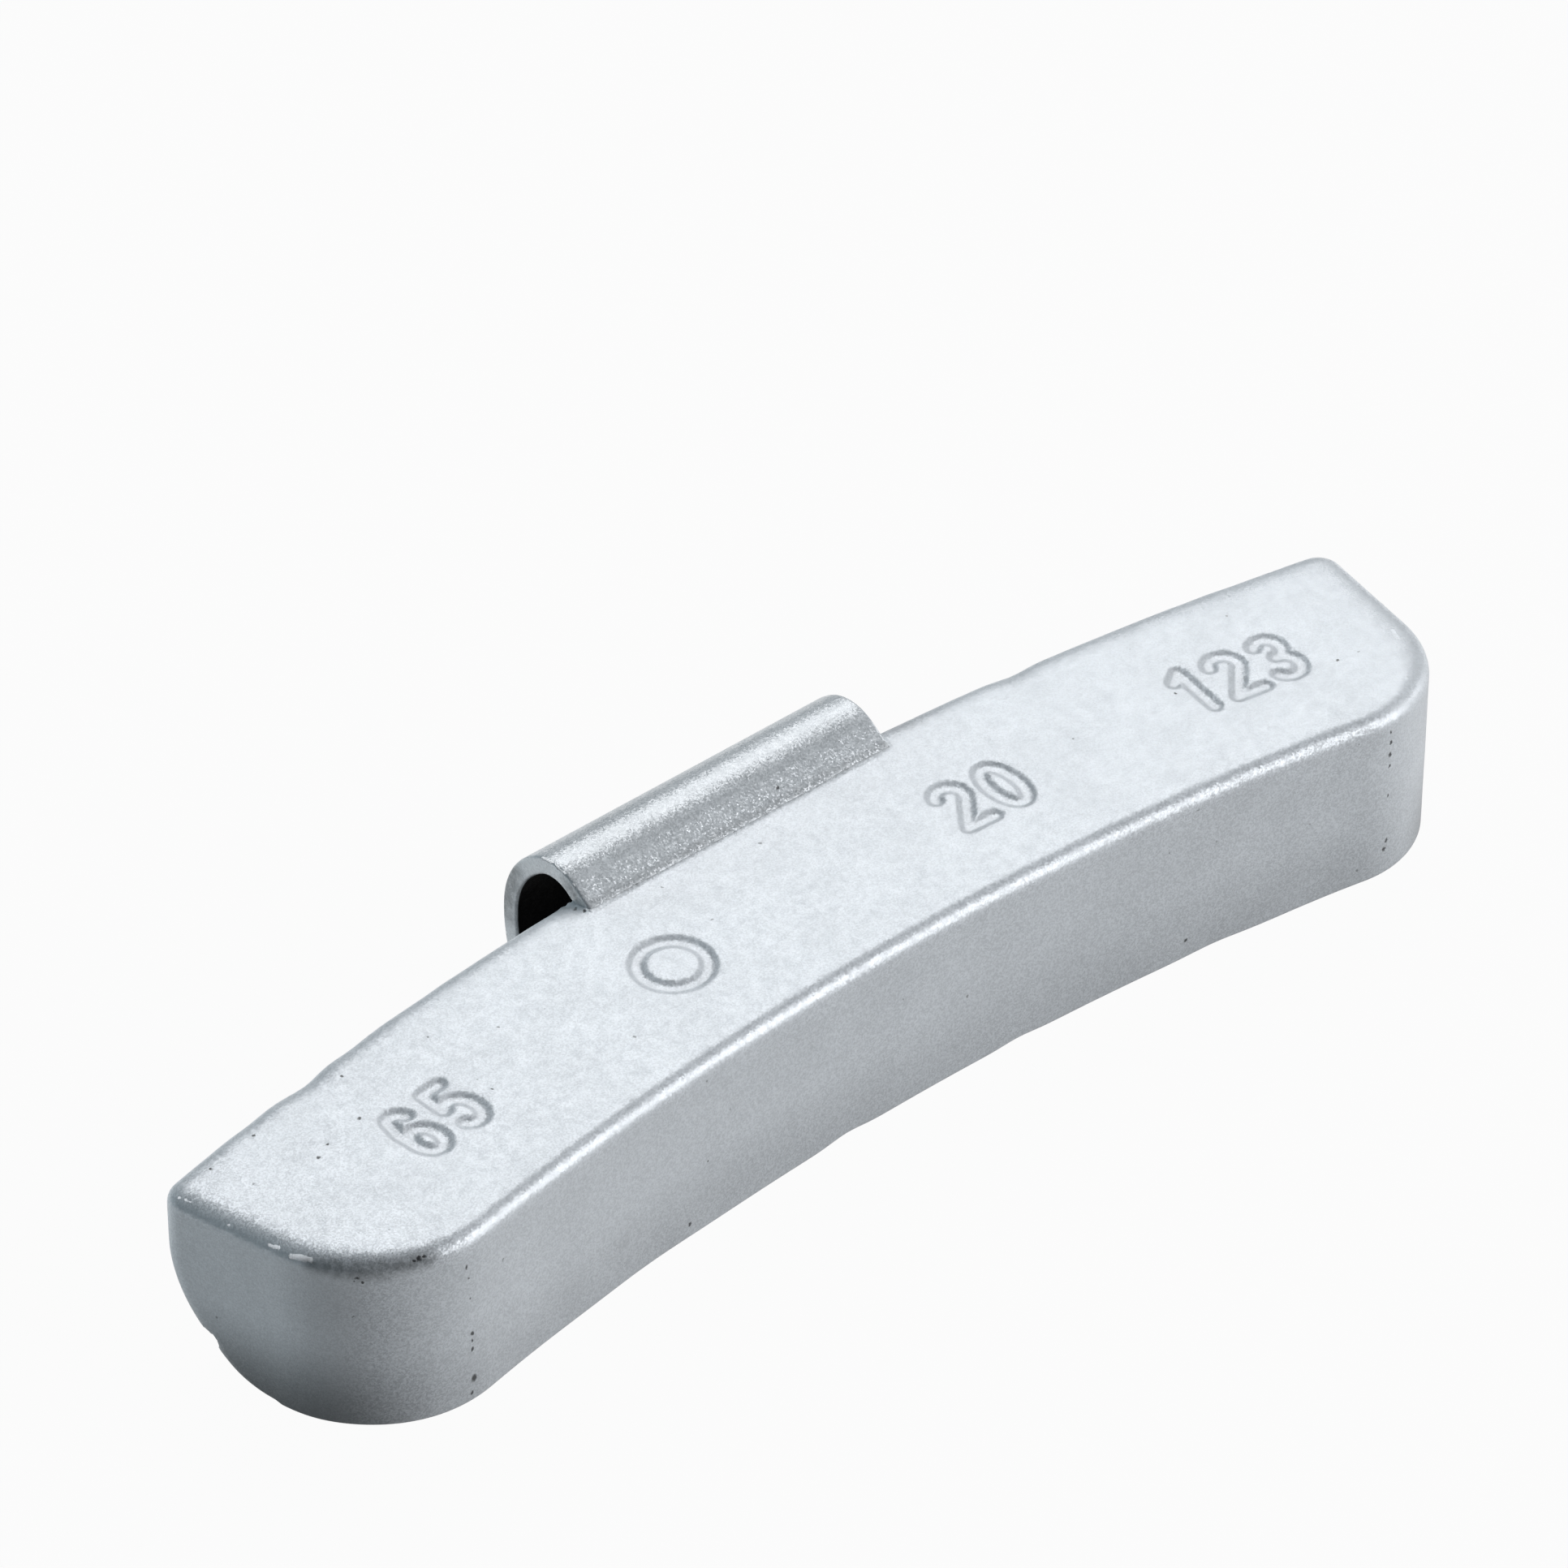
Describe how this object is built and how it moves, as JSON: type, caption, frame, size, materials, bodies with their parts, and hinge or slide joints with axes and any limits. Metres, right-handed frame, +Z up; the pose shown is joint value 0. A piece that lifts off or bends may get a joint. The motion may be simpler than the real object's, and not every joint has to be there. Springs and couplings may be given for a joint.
{
  "type": "wheel balance weight",
  "caption": "Curved clip-on wheel balance weight: a zinc casting with rounded front corners and a spring-steel clip at its rear edge that hooks over the lip of a wheel rim.",
  "frame": {"origin": "on the flat underside, at the middle of the overall length and depth", "axes": "+X along the weight, +Y away from the wheel axle towards the rim lip and clip, +Z up out of the marked face"},
  "size_m": [0.0756, 0.021, 0.0115],
  "materials": {
    "body_coat": "silver metallic coating over cast zinc",
    "clip_coat": "silver metallic coating over spring steel, glossier than the casting"
  },
  "bodies": {
    "root": {"weight_body": "body_coat", "rim_clip": "clip_coat"}
  },
  "joints": []
}
